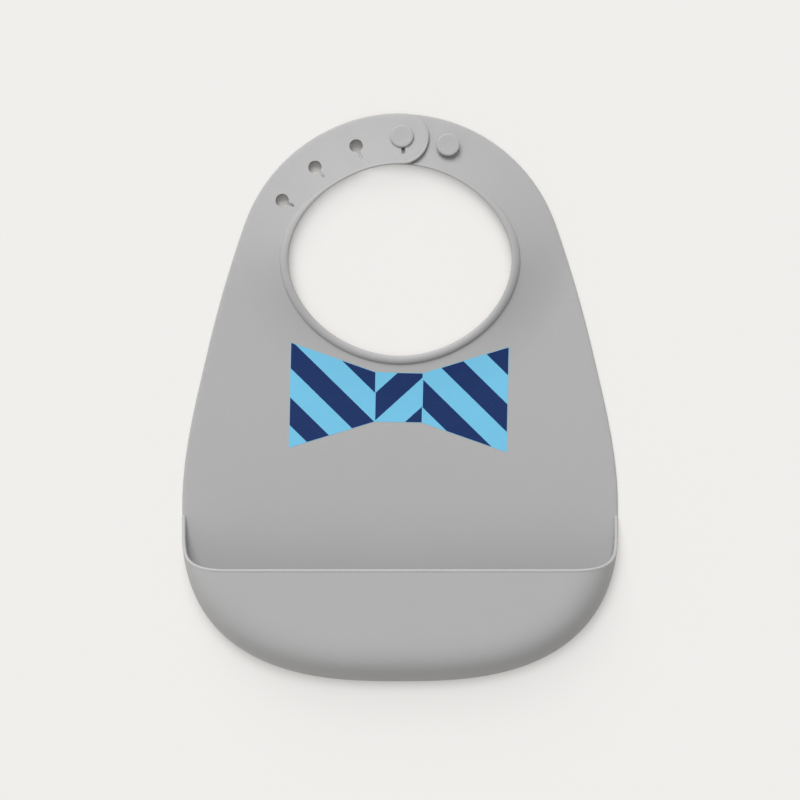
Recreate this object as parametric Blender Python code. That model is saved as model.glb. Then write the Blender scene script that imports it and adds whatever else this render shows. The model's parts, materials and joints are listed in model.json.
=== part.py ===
"""Silicone baby bib with a scoop pocket and a keyhole collar.

The bib lies on its back: X runs across it, +Y runs from the pocket to the collar and +Z points
out of its front. The origin is under the middle of the bib, in the plane that it lies on.
The real bib is one moulding, and here it is divided where the soft sheet folds.
"""
from math import atan2, cos, hypot, pi, radians, sin, sqrt, tan

import bmesh
import bpy
from mathutils import Matrix, Vector

# Outline, in metres.
BIB_LENGTH = 0.2994
BIB_WIDTH = 0.2306
WIDEST_UP = 0.0922          # height of the widest line above the pocket's bottom edge
CORNER_POWER = 2.68         # how square the two bottom corners are (2 is an ellipse)
CHEST_DOWN = 0.1251         # from the collar's top to the line where CHEST_WIDTH is measured
CHEST_WIDTH = 0.2036
CHEST_TAPER = 0.235         # sideways run of the side edge for each unit of height, there
COLLAR_RADIUS = 0.0871
SHOULDER_RISE = 0.0295      # from the collar's centre up to where its arc turns into the side

# Neck opening.
NECK_WIDTH = 0.1176
NECK_HEIGHT = 0.1006
NECK_POWER = 1.9
STRAP_WIDTH = 0.0276        # at the top of the collar
END_SWEEP = radians(84)     # how far a strap's round end turns before its flat tip

# Sheet, bead and the clearances between pieces.
SHEET = 0.0018
GAP = 0.0003                # between two pieces that touch
BEND_ROUND = 0.46           # rounding of the sheet's end at a bend, as a share of its thickness
FOLD_GAP = 0.0011           # behind the panel's fold, so that it can close past a right angle
BEAD_WIDTH = 0.0046
BEAD_HEIGHT = 0.0015
BEAD_REACH = radians(32)    # how far the bead climbs each strap above the collar's bend

# Places of the three bends, as distances from a feature that each one clears.
FOLD_ABOVE_MOUTH = 0.012    # panel's fold above the pocket's mouth
STRAP_BEND_BEAD = radians(50)   # largest forward bend, which the bead's ends leave room for
TAB_BEND_BACK = 0.017       # tab's bend, along the strap, before the first keyhole

# Closure.
KEYHOLE_COUNT = 4
STUD_COUNT = 2
BUTTON_PITCH = 0.0245       # along the strap's middle line
BUTTON_OUT = 0.0010         # keyholes and studs lie this far outside the strap's middle line
HOLE_DIAMETER = 0.0068
SLOT_WIDTH = 0.0016
SLOT_REACH = 0.0074         # from the hole's centre to the slot's tip
TAB_OVERHANG = 0.0015       # from the last keyhole to the centre of the tab's round end
STUD_HEAD = 0.0123
STEM_CLEARANCE = 0.0006     # all round the stem in its keyhole
HEAD_HEIGHT = 0.0021
RAMP_LENGTH = 0.020         # over which the tab climbs on to the other strap

# Pocket.
POCKET_DEPTH = 0.034
POCKET_REACH = 0.025        # width of the rounded side, seen from the front
POCKET_POWER = 3.0
POCKET_WALL = 0.0018
POCKET_TOP = 0.086          # mouth's start on the panel, above the bottom edge
MOUTH_SLOPE = 0.83          # fall of the mouth along Y for each unit that it stands out
LIP_THICKNESS = 0.0024

# Printed bow tie.
PRINT_THICKNESS = 0.0002
PRINT_GAP = 0.0001
BOW_CENTRE_Y = -0.0005
BOW_TILT = radians(-1.2)
WING_REACH = 0.0577
WING_HALF_HEIGHT = 0.0279
KNOT_HALF_WIDTH = 0.0125
KNOT_HALF_HEIGHT = 0.0134
STRIPE_WIDTH = 0.0107
STRIPE_PERIOD = 0.02195
LEFT_STRIPE_START = -0.0513
RIGHT_STRIPE_START = 0.0050
KNOT_STRIPE_START = -0.0105
PRINT_BORDER = 0.0004       # light edge left round the dark stripes

# What follows from them.
TOP_Y = BIB_LENGTH / 2
BOTTOM_Y = -BIB_LENGTH / 2
WIDEST_Y = BOTTOM_Y + WIDEST_UP
COLLAR_Y = TOP_Y - COLLAR_RADIUS
NECK_Y = TOP_Y - STRAP_WIDTH - NECK_HEIGHT / 2
MOUTH_Y = BOTTOM_Y + POCKET_TOP
FOLD_Y = MOUTH_Y + FOLD_ABOVE_MOUTH
MID_RADIUS = COLLAR_RADIUS - STRAP_WIDTH / 2
BUTTON_RADIUS = MID_RADIUS + BUTTON_OUT
PITCH_ANGLE = BUTTON_PITCH / MID_RADIUS
TAB_BEND_ANGLE = pi / 2 + (KEYHOLE_COUNT - 1) * PITCH_ANGLE + TAB_BEND_BACK / MID_RADIUS
MID_SHEET = SHEET / 2
TAB_LIFT = SHEET + GAP      # height of the tab's underside over the other strap
HEAD_Z = 2 * SHEET + 2 * GAP
BEAD_SETBACK = (MID_SHEET + GAP + BEAD_HEIGHT) * tan(STRAP_BEND_BEAD / 2) + 2 * GAP
BEAD_SIDES = 8


def clear_scene():
    for old in list(bpy.data.objects):
        bpy.data.objects.remove(old, do_unlink=True)


def surface(name, colour, roughness):
    """A Principled material with one colour."""
    made = bpy.data.materials.new(name)
    made.use_nodes = True
    shader = made.node_tree.nodes["Principled BSDF"]
    shader.inputs["Base Color"].default_value = (*colour, 1.0)
    shader.inputs["Roughness"].default_value = roughness
    shader.inputs["Metallic"].default_value = 0.0
    return made


def add_object(name, bm, finish, origin=(0, 0, 0)):
    """Turn world-space bmesh geometry into an object with its origin at the given point."""
    origin = Vector(origin)
    bmesh.ops.translate(bm, verts=bm.verts, vec=-origin)
    bmesh.ops.recalc_face_normals(bm, faces=bm.faces)
    mesh = bpy.data.meshes.new(name)
    bm.to_mesh(mesh)
    bm.free()
    mesh.materials.append(finish)
    made = bpy.data.objects.new(name, mesh)
    made.location = origin
    bpy.context.scene.collection.objects.link(made)
    return made


def prism(points, low, high):
    """A flat outline in XY, given a thickness along Z."""
    bm = bmesh.new()
    face = bm.faces.new([bm.verts.new((x, y, low)) for x, y in points])
    grown = bmesh.ops.extrude_face_region(bm, geom=[face])
    moved = [item for item in grown["geom"] if isinstance(item, bmesh.types.BMVert)]
    bmesh.ops.translate(bm, verts=moved, vec=(0, 0, high - low))
    return bm


def loft(rings):
    """Closed rings of points joined one to the next, with the two ends filled."""
    bm = bmesh.new()
    rows = [[bm.verts.new(point) for point in ring] for ring in rings]
    count = len(rows[0])
    for near, far in zip(rows, rows[1:]):
        for i in range(count):
            j = (i + 1) % count
            bm.faces.new((near[i], near[j], far[j], far[i]))
    bm.faces.new(rows[0])
    bm.faces.new(rows[-1])
    return bm


def round_edges(bm, on_bend):
    """Round the sheet's two edges along a bend, so that its end turns about the bend's axis."""
    bend = [edge for edge in bm.edges if all(on_bend(vert.co) for vert in edge.verts)]
    bend = [edge for edge in bend if abs(edge.verts[0].co.z - edge.verts[1].co.z) < GAP]
    bmesh.ops.bevel(bm, geom=bend, offset=BEND_ROUND * SHEET, segments=3, profile=0.5, affect="EDGES")


def keep_side(bm, point, normal):
    """Cut the solid with a plane and keep what lies on the side that the normal points to."""
    everything = list(bm.verts) + list(bm.edges) + list(bm.faces)
    cut = bmesh.ops.bisect_plane(
        bm, geom=everything, dist=1e-7, plane_co=point, plane_no=normal, clear_inner=True
    )
    rim = [item for item in cut["geom_cut"] if isinstance(item, bmesh.types.BMEdge)]
    bmesh.ops.edgenet_fill(bm, edges=rim)


# ---------------------------------------------------------------- outline and neck curve

def hermite(start, end, start_slope, end_slope, span, t):
    """Smooth step between two widths, with a slope at each end."""
    here = 1 - 3 * t ** 2 + 2 * t ** 3
    leave = t * (1 - t) ** 2
    arrive = t ** 2 * (t - 1)
    return here * start + (1 - here) * end + span * (leave * start_slope + arrive * end_slope)


def half_width(y):
    """Half of the bib's outer width at one height."""
    shoulder_y = COLLAR_Y + SHOULDER_RISE
    shoulder = sqrt(COLLAR_RADIUS ** 2 - SHOULDER_RISE ** 2)
    chest_y = TOP_Y - CHEST_DOWN
    if y > shoulder_y:
        return sqrt(max(COLLAR_RADIUS ** 2 - (y - COLLAR_Y) ** 2, 0))
    if y > chest_y:
        span = shoulder_y - chest_y
        slope = SHOULDER_RISE / shoulder
        return hermite(shoulder, CHEST_WIDTH / 2, slope, CHEST_TAPER, span, (shoulder_y - y) / span)
    if y > WIDEST_Y:
        span = chest_y - WIDEST_Y
        return hermite(CHEST_WIDTH / 2, BIB_WIDTH / 2, CHEST_TAPER, 0, span, (chest_y - y) / span)
    drop = min((WIDEST_Y - y) / WIDEST_UP, 1)
    return BIB_WIDTH / 2 * (1 - drop ** CORNER_POWER) ** (1 / CORNER_POWER)


def bottom_curve(angle):
    """Point of the bottom outline; the angle runs from 0 at the right to pi at the left."""
    across = abs(cos(angle)) ** (2 / CORNER_POWER)
    down = abs(sin(angle)) ** (2 / CORNER_POWER)
    side = 1 if cos(angle) >= 0 else -1
    return Vector((side * BIB_WIDTH / 2 * across, WIDEST_Y - WIDEST_UP * down))


def side_edge(low, high, steps):
    """Right-hand edge from one height up to another."""
    heights = [low + (high - low) * i / steps for i in range(steps + 1)]
    return [(half_width(y), y) for y in heights]


def mirrored(points):
    return [(-x, y) for x, y in reversed(points)]


def neck_point(angle, grow=0.0):
    """Point of the neck opening's edge, seen from its centre at an angle from +X."""
    wide = NECK_WIDTH / 2 + grow
    tall = NECK_HEIGHT / 2 + grow
    power = NECK_POWER
    radius = (abs(cos(angle) / wide) ** power + abs(sin(angle) / tall) ** power) ** (-1 / power)
    return Vector((radius * cos(angle), NECK_Y + radius * sin(angle)))


def neck_angle(y, grow=0.0):
    """Angle, on the right-hand side, at which the neck's edge passes one height."""
    wide = NECK_WIDTH / 2 + grow
    tall = NECK_HEIGHT / 2 + grow
    x = wide * (1 - abs((y - NECK_Y) / tall) ** NECK_POWER) ** (1 / NECK_POWER)
    return atan2(y - NECK_Y, x)


def collar_point(angle, radius):
    """Point at an angle from +X round the collar's centre."""
    return Vector((radius * cos(angle), COLLAR_Y + radius * sin(angle)))


def distance_to_edge(angle, inside, reach):
    """Distance from the collar's centre, along an angle from +X, to where inside() ends."""
    near, far = 0.0, reach
    for _ in range(30):
        middle = (near + far) / 2
        if inside(*collar_point(angle, middle)):
            near = middle
        else:
            far = middle
    return near


def in_neck(x, y):
    across = abs(x / (NECK_WIDTH / 2)) ** NECK_POWER
    return across + abs((y - NECK_Y) / (NECK_HEIGHT / 2)) ** NECK_POWER < 1


def in_outline(x, y):
    return abs(x) < half_width(y)


def strap_edges(angle):
    """Inner and outer edge of the collar at one angle, as distances from its centre."""
    inner = distance_to_edge(angle, in_neck, COLLAR_RADIUS)
    outer = distance_to_edge(angle, in_outline, BIB_WIDTH)
    return inner, outer


# ---------------------------------------------------------------- panel

def build_lower_panel(finish):
    """Back of the pocket, and what the bib rests on."""
    bottom = [bottom_curve(-pi * i / 72) for i in range(1, 72)]
    bottom = [(point.x, WIDEST_Y - abs(point.y - WIDEST_Y)) for point in bottom]
    right = side_edge(WIDEST_Y, FOLD_Y + MID_SHEET, 4)
    outline = right + mirrored(right) + [(x, y) for x, y in reversed(bottom)]
    bm = prism(outline, 0, SHEET)
    round_edges(bm, lambda at: abs(at.y - FOLD_Y - MID_SHEET) < 1e-6)
    return add_object("lower_panel", bm, finish)


def build_chest_panel(finish):
    """Upper part of the panel, round the lower half of the neck opening."""
    low = FOLD_Y + MID_SHEET + FOLD_GAP
    high = COLLAR_Y + MID_SHEET
    right = side_edge(low, high, 22)
    start = neck_angle(high)
    neck = [neck_point(start - (pi + 2 * start) * i / 40) for i in range(41)]
    outline = right + [(x, y) for x, y in neck] + mirrored(right)
    bm = prism(outline, 0, SHEET)
    round_edges(bm, lambda at: abs(at.y - high) < 1e-6)
    return add_object("chest_panel", bm, finish, (0, FOLD_Y, MID_SHEET))


def bead_rings(start, end, steps, base):
    """Half-round sections of the raised bead along the neck's edge."""
    rings = []
    for i in range(steps + 1):
        angle = start + (end - start) * i / steps
        ring = []
        for k in range(BEAD_SIDES + 1):
            turn = pi * k / BEAD_SIDES
            out = BEAD_WIDTH / 2 * (1 - cos(turn))
            x, y = neck_point(angle, out)
            ring.append((x, y, base + BEAD_HEIGHT * sin(turn)))
        rings.append(ring)
    return rings


def build_neck_bead(finish):
    start = neck_angle(COLLAR_Y - BEAD_SETBACK)
    bm = loft(bead_rings(start, -pi - start, 48, SHEET + GAP))
    return add_object("neck_bead", bm, finish, (0, FOLD_Y, MID_SHEET))


# ---------------------------------------------------------------- collar straps

def strap_rings(start, end, overhang, climb):
    """Sections of a strap from one collar angle to its round end; climb gives the underside."""
    turn = 1 if end > start else -1
    last = end + turn * overhang / MID_RADIUS
    steps = 40
    stations = [start + (last - start) * i / steps for i in range(steps + 1)]
    sections = [(angle, *strap_edges(angle)) for angle in stations]
    inner, outer = strap_edges(last)
    half = (outer - inner) / 2
    middle = (outer + inner) / 2
    for i in range(1, 9):
        bend = END_SWEEP * i / 8
        angle = last + turn * half * sin(bend) / middle
        sections.append((angle, middle - half * cos(bend), middle + half * cos(bend)))
    rings = []
    for angle, inner, outer in sections:
        low = climb(angle)
        inside = collar_point(angle, inner)
        outside = collar_point(angle, outer)
        rings.append([
            (*inside, low), (*outside, low), (*outside, low + SHEET), (*inside, low + SHEET)
        ])
    return rings


def flat(angle):
    return 0.0


def button_angle(index):
    """Collar angle of a keyhole, counted back along the left strap from its end."""
    return pi / 2 + index * PITCH_ANGLE


def ramp(angle):
    """The tab's underside: on the table at its root, on top of the other strap at its end."""
    foot = button_angle(0) + (STRAP_WIDTH / 2 + GAP + RAMP_LENGTH) / MID_RADIUS
    head = button_angle(0) + (STRAP_WIDTH / 2 + GAP) / MID_RADIUS
    share = min(max((foot - angle) / (foot - head), 0), 1)
    return TAB_LIFT * share * share * (3 - 2 * share)


def build_stud_strap(finish):
    """Right-hand strap; its end lies under the tab."""
    bm = loft(strap_rings(radians(-6), button_angle(0), 0, flat))
    keep_side(bm, (0, COLLAR_Y + MID_SHEET + GAP, 0), (0, 1, 0))
    return add_object("stud_strap", bm, finish, (0, COLLAR_Y, MID_SHEET))


def tab_bend():
    """Middle of the tab's bend line, the way along it, and the way to the tab."""
    angle = TAB_BEND_ANGLE
    point = collar_point(angle, MID_RADIUS)
    outward = Vector((cos(angle), sin(angle), 0))
    onward = Vector((sin(angle), -cos(angle), 0))
    return Vector((*point, MID_SHEET)), outward, onward


def build_keyhole_strap(finish):
    """Root of the left-hand strap, up to the bend that lets its tab lift."""
    point, outward, onward = tab_bend()
    bm = loft(strap_rings(radians(186), button_angle(0), TAB_OVERHANG, flat))
    keep_side(bm, (0, COLLAR_Y + MID_SHEET + GAP, 0), (0, 1, 0))
    keep_side(bm, point + MID_SHEET * onward, -onward)
    round_edges(bm, lambda at: abs((at - point).dot(onward) - MID_SHEET) < 1e-6)
    return add_object("keyhole_strap", bm, finish, (0, COLLAR_Y, MID_SHEET))


def keyhole_outline(angle):
    """Round hole with a narrow slot towards the neck."""
    centre = collar_point(angle, BUTTON_RADIUS)
    outward = Vector((cos(angle), sin(angle)))
    side = Vector((-outward.y, outward.x))
    radius = HOLE_DIAMETER / 2
    half_slot = SLOT_WIDTH / 2
    open_angle = atan2(half_slot, sqrt(radius ** 2 - half_slot ** 2))
    points = []
    for i in range(25):
        turn = pi + open_angle + (2 * pi - 2 * open_angle) * i / 24
        points.append(centre + radius * (cos(turn) * outward + sin(turn) * side))
    for i in range(5):
        turn = pi / 2 + pi * i / 4
        tip = -(SLOT_REACH - half_slot) + half_slot * cos(turn)
        points.append(centre + tip * outward + half_slot * sin(turn) * side)
    return [(x, y) for x, y in points]


def build_keyhole_tab(finish):
    """Free end of the left-hand strap, with the keyholes cut through it."""
    point, outward, onward = tab_bend()
    bm = loft(strap_rings(radians(186), button_angle(0), TAB_OVERHANG, ramp))
    keep_side(bm, point + (MID_SHEET + GAP) * onward, onward)
    tab = add_object("keyhole_tab", bm, finish, point)
    for index in range(KEYHOLE_COUNT):
        hole = prism(keyhole_outline(button_angle(index)), -SHEET, TAB_LIFT + 2 * SHEET)
        cutter = add_object(f"keyhole_cutter_{index + 1}", hole, finish)
        cutter.hide_render = True
        cutter.display_type = "WIRE"
        cut = tab.modifiers.new(f"keyhole_{index + 1}", "BOOLEAN")
        cut.operation = "DIFFERENCE"
        cut.solver = "EXACT"
        cut.object = cutter
    return tab


def build_strap_beads(finish):
    """The bead's two tails, which run on from the chest up the straps."""
    low = neck_angle(COLLAR_Y + BEAD_SETBACK)
    right = loft(bead_rings(low, BEAD_REACH, 12, SHEET + GAP))
    add_object("strap_bead_right", right, finish, (0, COLLAR_Y, MID_SHEET))
    point, outward, onward = tab_bend()
    left = loft(bead_rings(pi - low, pi - BEAD_REACH, 12, SHEET + GAP))
    keep_side(left, point - BEAD_SETBACK * onward, -onward)
    add_object("strap_bead_left", left, finish, (0, COLLAR_Y, MID_SHEET))


def build_stud(name, angle, finish):
    """Mushroom stud: a stem through the keyhole and a wide domed head."""
    stem = HOLE_DIAMETER / 2 - STEM_CLEARANCE
    head = STUD_HEAD / 2
    edge = HEAD_HEIGHT / 2
    base = SHEET + GAP
    profile = [(0, base), (stem, base), (stem, HEAD_Z)]
    for i in range(7):
        turn = -pi / 2 + pi * i / 6
        profile.append((head - edge + edge * cos(turn), HEAD_Z + edge + edge * sin(turn)))
    profile.append((0, HEAD_Z + HEAD_HEIGHT))
    bm = bmesh.new()
    verts = [bm.verts.new((x, 0, z)) for x, z in profile]
    line = [bm.edges.new(pair) for pair in zip(verts, verts[1:])]
    bmesh.ops.spin(
        bm, geom=verts + line, cent=(0, 0, 0), axis=(0, 0, 1), angle=2 * pi, steps=32,
        use_merge=True,
    )
    bmesh.ops.remove_doubles(bm, verts=bm.verts, dist=1e-7)
    centre = collar_point(angle, BUTTON_RADIUS)
    stud = add_object(name, bm, finish)
    stud.location = (*centre, 0)
    stud.data.shade_smooth()
    stud.data.set_sharp_from_angle(angle=radians(40))
    return stud


# ---------------------------------------------------------------- pocket

def pocket_section(share):
    """Inset, height and outward normal of the rounded side; share runs from root to front."""
    turn = pi / 2 * share
    rise = POCKET_DEPTH - SHEET - GAP
    inset = POCKET_REACH * (1 - cos(turn) ** (2 / POCKET_POWER))
    height = rise * sin(turn) ** (2 / POCKET_POWER)
    left = 1 - inset / POCKET_REACH
    slope_out = left ** (POCKET_POWER - 1) / POCKET_REACH
    slope_up = (height / rise) ** (POCKET_POWER - 1) / rise
    size = hypot(slope_out, slope_up)
    return inset, SHEET + GAP + height, slope_out / size, slope_up / size


def inset_point(angle, inset):
    """Bottom outline moved in towards the middle of the pocket."""
    at = bottom_curve(angle)
    step = 1e-4
    ahead = bottom_curve(min(angle + step, pi))
    behind = bottom_curve(max(angle - step, 0))
    along = (ahead - behind).normalized()
    return at + inset * Vector((along.y, -along.x))


def mouth_angle(inset, y):
    """Angle at which the inset outline passes one height, on the right-hand side."""
    low, high = 0.0, pi / 2
    for _ in range(40):
        middle = (low + high) / 2
        if inset_point(middle, inset).y > y:
            low = middle
        else:
            high = middle
    return high


def pocket_row(inset, z, steps):
    """One level line of the pocket's side, from the mouth's right end round to its left end."""
    start = mouth_angle(inset, MOUTH_Y - MOUTH_SLOPE * (z - SHEET))
    angles = [start + (pi - 2 * start) * i / steps for i in range(steps + 1)]
    return [(*inset_point(angle, inset), z) for angle in angles]


def build_pocket_wall(finish):
    """Rounded side and bottom of the pocket, in one band from the panel to the front."""
    levels = 9
    steps = 56
    outer = []
    inner = []
    for k in range(levels + 1):
        inset, z, out, up = pocket_section(k / levels)
        outer.append(pocket_row(inset, z, steps))
        inner.append(pocket_row(inset + POCKET_WALL * out, z - POCKET_WALL * up, steps))
    inner[0] = pocket_row(POCKET_WALL, SHEET + GAP, steps)
    rings = []
    for i in range(steps + 1):
        rings.append([row[i] for row in outer] + [row[i] for row in reversed(inner)])
    return add_object("pocket_wall", loft(rings), finish)


def front_outline(inset):
    """Edge of the pocket's flat front below its lip."""
    top = MOUTH_Y - MOUTH_SLOPE * (POCKET_DEPTH - SHEET) - LIP_THICKNESS - GAP
    start = mouth_angle(inset, top)
    angles = [start + (pi - 2 * start) * i / 56 for i in range(57)]
    return [tuple(inset_point(angle, inset)) for angle in angles]


def build_pocket_front(finish):
    outline = front_outline(POCKET_REACH + GAP)
    bm = prism(outline, POCKET_DEPTH - POCKET_WALL, POCKET_DEPTH)
    return add_object("pocket_front", bm, finish, (0, BOTTOM_Y, MID_SHEET))


def build_pocket_lip(finish):
    """Thickened round edge along the top of the front."""
    reach = front_outline(POCKET_REACH + GAP)[0][0]
    top = MOUTH_Y - MOUTH_SLOPE * (POCKET_DEPTH - SHEET)
    radius = LIP_THICKNESS / 2
    rings = []
    for x in (-reach, reach):
        ring = []
        for i in range(12):
            turn = 2 * pi * i / 12
            ring.append((x, top - radius + radius * cos(turn), POCKET_DEPTH - radius + radius * sin(turn)))
        rings.append(ring)
    return add_object("pocket_lip", loft(rings), finish, (0, BOTTOM_Y, MID_SHEET))


# ---------------------------------------------------------------- printed bow tie

def wing(side):
    return [
        (side * KNOT_HALF_WIDTH, -KNOT_HALF_HEIGHT), (side * WING_REACH, -WING_HALF_HEIGHT),
        (side * WING_REACH, WING_HALF_HEIGHT), (side * KNOT_HALF_WIDTH, KNOT_HALF_HEIGHT),
    ]


def knot():
    wide, tall = KNOT_HALF_WIDTH, KNOT_HALF_HEIGHT
    return [(-wide, -tall), (wide, -tall), (wide, tall), (-wide, tall)]


def place_print(bm, low):
    turn = Matrix.Rotation(BOW_TILT, 4, "Z")
    bmesh.ops.transform(bm, matrix=Matrix.Translation((0, BOW_CENTRE_Y, low)) @ turn, verts=bm.verts)


def build_bow_base(finish):
    """Light ground of the bow tie: both wings and the knot in one outline."""
    outline = [
        (KNOT_HALF_WIDTH, -KNOT_HALF_HEIGHT), *wing(1)[1:3], (KNOT_HALF_WIDTH, KNOT_HALF_HEIGHT),
        (-KNOT_HALF_WIDTH, KNOT_HALF_HEIGHT), wing(-1)[2], wing(-1)[1],
        (-KNOT_HALF_WIDTH, -KNOT_HALF_HEIGHT),
    ]
    bm = prism(outline, 0, PRINT_THICKNESS)
    place_print(bm, SHEET + PRINT_GAP)
    return add_object("bow_tie_base", bm, finish, (0, FOLD_Y, MID_SHEET))


def shrunk(points):
    """The outline moved in by the light border."""
    middle = sum((Vector(point) for point in points), Vector((0, 0))) / len(points)
    reach = max((Vector(point) - middle).length for point in points)
    share = 1 - PRINT_BORDER / reach * 2
    return [tuple(middle + (Vector(point) - middle) * share) for point in points]


def build_stripe(name, outline, lean, start, finish):
    """Dark diagonal stripe, cut out of one panel of the bow tie by two slanting planes."""
    bm = prism(shrunk(outline), 0, PRINT_THICKNESS)
    across = Vector((1, lean, 0)).normalized()
    keep_side(bm, across * start, across)
    keep_side(bm, across * (start + STRIPE_WIDTH), -across)
    place_print(bm, SHEET + 2 * PRINT_GAP + PRINT_THICKNESS)
    return add_object(name, bm, finish, (0, FOLD_Y, MID_SHEET))


def build_bow_tie(light, dark):
    build_bow_base(light)
    for k in range(3):
        build_stripe(f"stripe_left_{k + 1}", wing(-1), 1, LEFT_STRIPE_START + k * STRIPE_PERIOD, dark)
        build_stripe(f"stripe_right_{k + 1}", wing(1), 1, RIGHT_STRIPE_START + k * STRIPE_PERIOD, dark)
    for k in range(2):
        build_stripe(f"stripe_knot_{k + 1}", knot(), -1, KNOT_STRIPE_START + k * STRIPE_PERIOD, dark)


def main():
    clear_scene()
    silicone = surface("grey_silicone", (0.42, 0.42, 0.42), 0.55)
    light_ink = surface("light_blue_ink", (0.15, 0.51, 0.78), 0.5)
    dark_ink = surface("navy_ink", (0.012, 0.03, 0.14), 0.5)
    build_lower_panel(silicone)
    build_pocket_wall(silicone)
    build_pocket_front(silicone)
    build_pocket_lip(silicone)
    build_chest_panel(silicone)
    build_neck_bead(silicone)
    build_bow_tie(light_ink, dark_ink)
    build_stud_strap(silicone)
    build_strap_beads(silicone)
    build_keyhole_strap(silicone)
    build_keyhole_tab(silicone)
    for index in range(STUD_COUNT):
        build_stud(f"stud_{index + 1}", button_angle(-index), silicone)


main()
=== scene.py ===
import json
import math

import bmesh
import bpy
from mathutils import Matrix, Vector


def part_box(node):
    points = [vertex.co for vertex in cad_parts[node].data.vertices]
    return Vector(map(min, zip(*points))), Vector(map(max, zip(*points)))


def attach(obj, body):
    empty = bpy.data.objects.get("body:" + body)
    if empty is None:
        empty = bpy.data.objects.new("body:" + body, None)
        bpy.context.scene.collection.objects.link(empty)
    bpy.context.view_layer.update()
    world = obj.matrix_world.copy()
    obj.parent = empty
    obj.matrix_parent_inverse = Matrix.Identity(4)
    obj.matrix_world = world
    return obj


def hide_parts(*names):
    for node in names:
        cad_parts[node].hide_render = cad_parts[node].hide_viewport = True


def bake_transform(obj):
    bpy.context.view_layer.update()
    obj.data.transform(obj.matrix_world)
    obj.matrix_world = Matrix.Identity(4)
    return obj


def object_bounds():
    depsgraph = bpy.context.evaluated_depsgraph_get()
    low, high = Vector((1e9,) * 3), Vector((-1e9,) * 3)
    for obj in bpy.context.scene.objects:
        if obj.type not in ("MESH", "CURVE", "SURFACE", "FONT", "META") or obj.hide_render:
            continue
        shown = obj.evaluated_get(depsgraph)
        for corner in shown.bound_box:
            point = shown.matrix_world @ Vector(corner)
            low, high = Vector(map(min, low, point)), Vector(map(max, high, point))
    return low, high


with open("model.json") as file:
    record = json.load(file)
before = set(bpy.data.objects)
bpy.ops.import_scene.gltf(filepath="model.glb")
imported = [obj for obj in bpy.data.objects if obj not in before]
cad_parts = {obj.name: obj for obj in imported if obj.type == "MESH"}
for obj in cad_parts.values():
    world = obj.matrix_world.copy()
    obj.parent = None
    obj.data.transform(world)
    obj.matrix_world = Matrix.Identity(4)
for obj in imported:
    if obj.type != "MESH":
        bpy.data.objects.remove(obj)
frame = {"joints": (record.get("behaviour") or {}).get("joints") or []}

# ---------------------------------------------------------------- table, lamp and camera
# The bib lies on its back on a pale matt table. It is seen from straight above, so its
# outline is true to shape. One broad lamp stands beyond the collar, a little to the left, and
# a white card at the lower left gives some of its light back.
# For the camera the table also glows: a painted light that fills in most of the bib's cast shadow
# on it, except close to the bib.

CAMERA_HEIGHT = 1.25
TABLE_IN_VIEW = 0.424       # width of table that the view takes in
VIEW_DROP = 0.00186         # the view's middle lies this far below the bib's middle
FILM_WIDTH = 36.0           # mm
TABLE_COLOUR = (0.871, 0.863, 0.847)
# share of the open table that the camera sees as painted glow, which fills in the cast shadow
# there
PAINTED_GLOW_SHARE = 0.84           # share of the open table's look that a shadow leaves alone
CONTACT_REACH = 0.011       # the table counts as less open nearer to the bib than this
LAMP_TURN = math.radians(-14)
LAMP_HEIGHT_ANGLE = math.radians(42)
LAMP_SOFTNESS = math.radians(42)
LAMP_STRENGTH = 2.75
CARD_TURN = math.radians(-115)
CARD_HEIGHT_ANGLE = math.radians(20)
CARD_SOFTNESS = math.radians(60)
CARD_STRENGTH = 0.45
SKY_STRENGTH = 0.405
SKY_COLOUR = (1.0, 0.995, 0.985)
TABLE_HALF = 3.0            # half of the table's width
TABLE_DROP = 0.0002         # keeps the table's face just clear of the bib's back
TABLE_DARK = (0.838, 0.812, 0.785)      # the table's own colour, which its shadows show
TABLE_LIGHT = (0.850, 0.824, 0.797)
SHADOW_FULL = 0.30          # openness below which the table takes its full shadow
SHADOW_NONE = 0.98          # and above which it takes the least

cad_low, cad_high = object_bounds()

camera = bpy.data.objects.new("camera", bpy.data.cameras.new("camera"))
camera.location = (0.0, -VIEW_DROP, CAMERA_HEIGHT)
camera.data.sensor_width = FILM_WIDTH
camera.data.lens = FILM_WIDTH * CAMERA_HEIGHT / TABLE_IN_VIEW
bpy.context.scene.collection.objects.link(camera)
bpy.context.scene.camera = camera
bpy.context.scene.view_settings.view_transform = "Standard"


def sun(name, turn, height_angle, softness, strength):
    """A broad lamp far away; its turn is clockwise from the collar's end of the table."""
    made = bpy.data.objects.new(name, bpy.data.lights.new(name, "SUN"))
    made.data.energy = strength
    made.data.angle = softness
    towards = Vector((
        math.sin(turn) * math.cos(height_angle),
        math.cos(turn) * math.cos(height_angle),
        math.sin(height_angle),
    ))
    made.rotation_euler = towards.to_track_quat("Z", "Y").to_euler()
    bpy.context.scene.collection.objects.link(made)


sun("window_lamp", LAMP_TURN, LAMP_HEIGHT_ANGLE, LAMP_SOFTNESS, LAMP_STRENGTH)
sun("reflector", CARD_TURN, CARD_HEIGHT_ANGLE, CARD_SOFTNESS, CARD_STRENGTH)


class Signal:
    """A node's output that takes part in Python arithmetic; each step adds a Math node."""

    def __init__(self, graph, socket):
        self.graph = graph
        self.socket = socket

    def step(self, operation, first, second):
        settings = {"operation": operation}
        return self.graph.node("ShaderNodeMath", settings, {0: first, 1: second})

    def __add__(self, other):
        return self.step("ADD", self, other)

    def __radd__(self, other):
        return self.step("ADD", other, self)

    def __mul__(self, other):
        return self.step("MULTIPLY", self, other)

    def __rmul__(self, other):
        return self.step("MULTIPLY", other, self)

    def above(self, low, high):
        """0 below the low value, 1 above the high one and a smooth step between them."""
        settings = {"interpolation_type": "SMOOTHSTEP"}
        values = {"Value": self, "From Min": low, "From Max": high}
        return self.graph.node("ShaderNodeMapRange", settings, values)


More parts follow.
